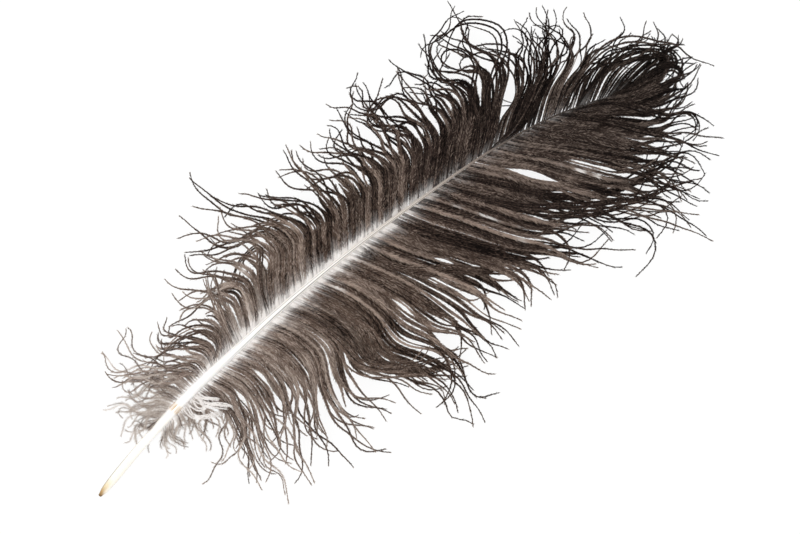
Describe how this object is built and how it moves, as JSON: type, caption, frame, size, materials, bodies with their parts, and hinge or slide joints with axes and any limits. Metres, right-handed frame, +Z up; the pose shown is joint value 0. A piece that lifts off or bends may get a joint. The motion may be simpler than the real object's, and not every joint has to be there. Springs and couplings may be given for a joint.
{
  "type": "ostrich feather",
  "caption": "Loose plume lying flat: a pale tapering shaft with dark downy barbs in drooping, wispy locks along both sides and round the tip.",
  "frame": {"origin": "middle of the footprint, on the surface that the feather lies on", "axes": "+X from the quill's end towards the tip of the plume, +Z up out of the surface"},
  "size_m": [0.4868, 0.2388, 0.0297],
  "materials": {
    "barbs": "matte grey-brown down, near black at the tip",
    "quill": "satin ivory keratin, amber at the quill's end"
  },
  "bodies": {
    "root": {"feather": "barbs"}
  },
  "joints": []
}
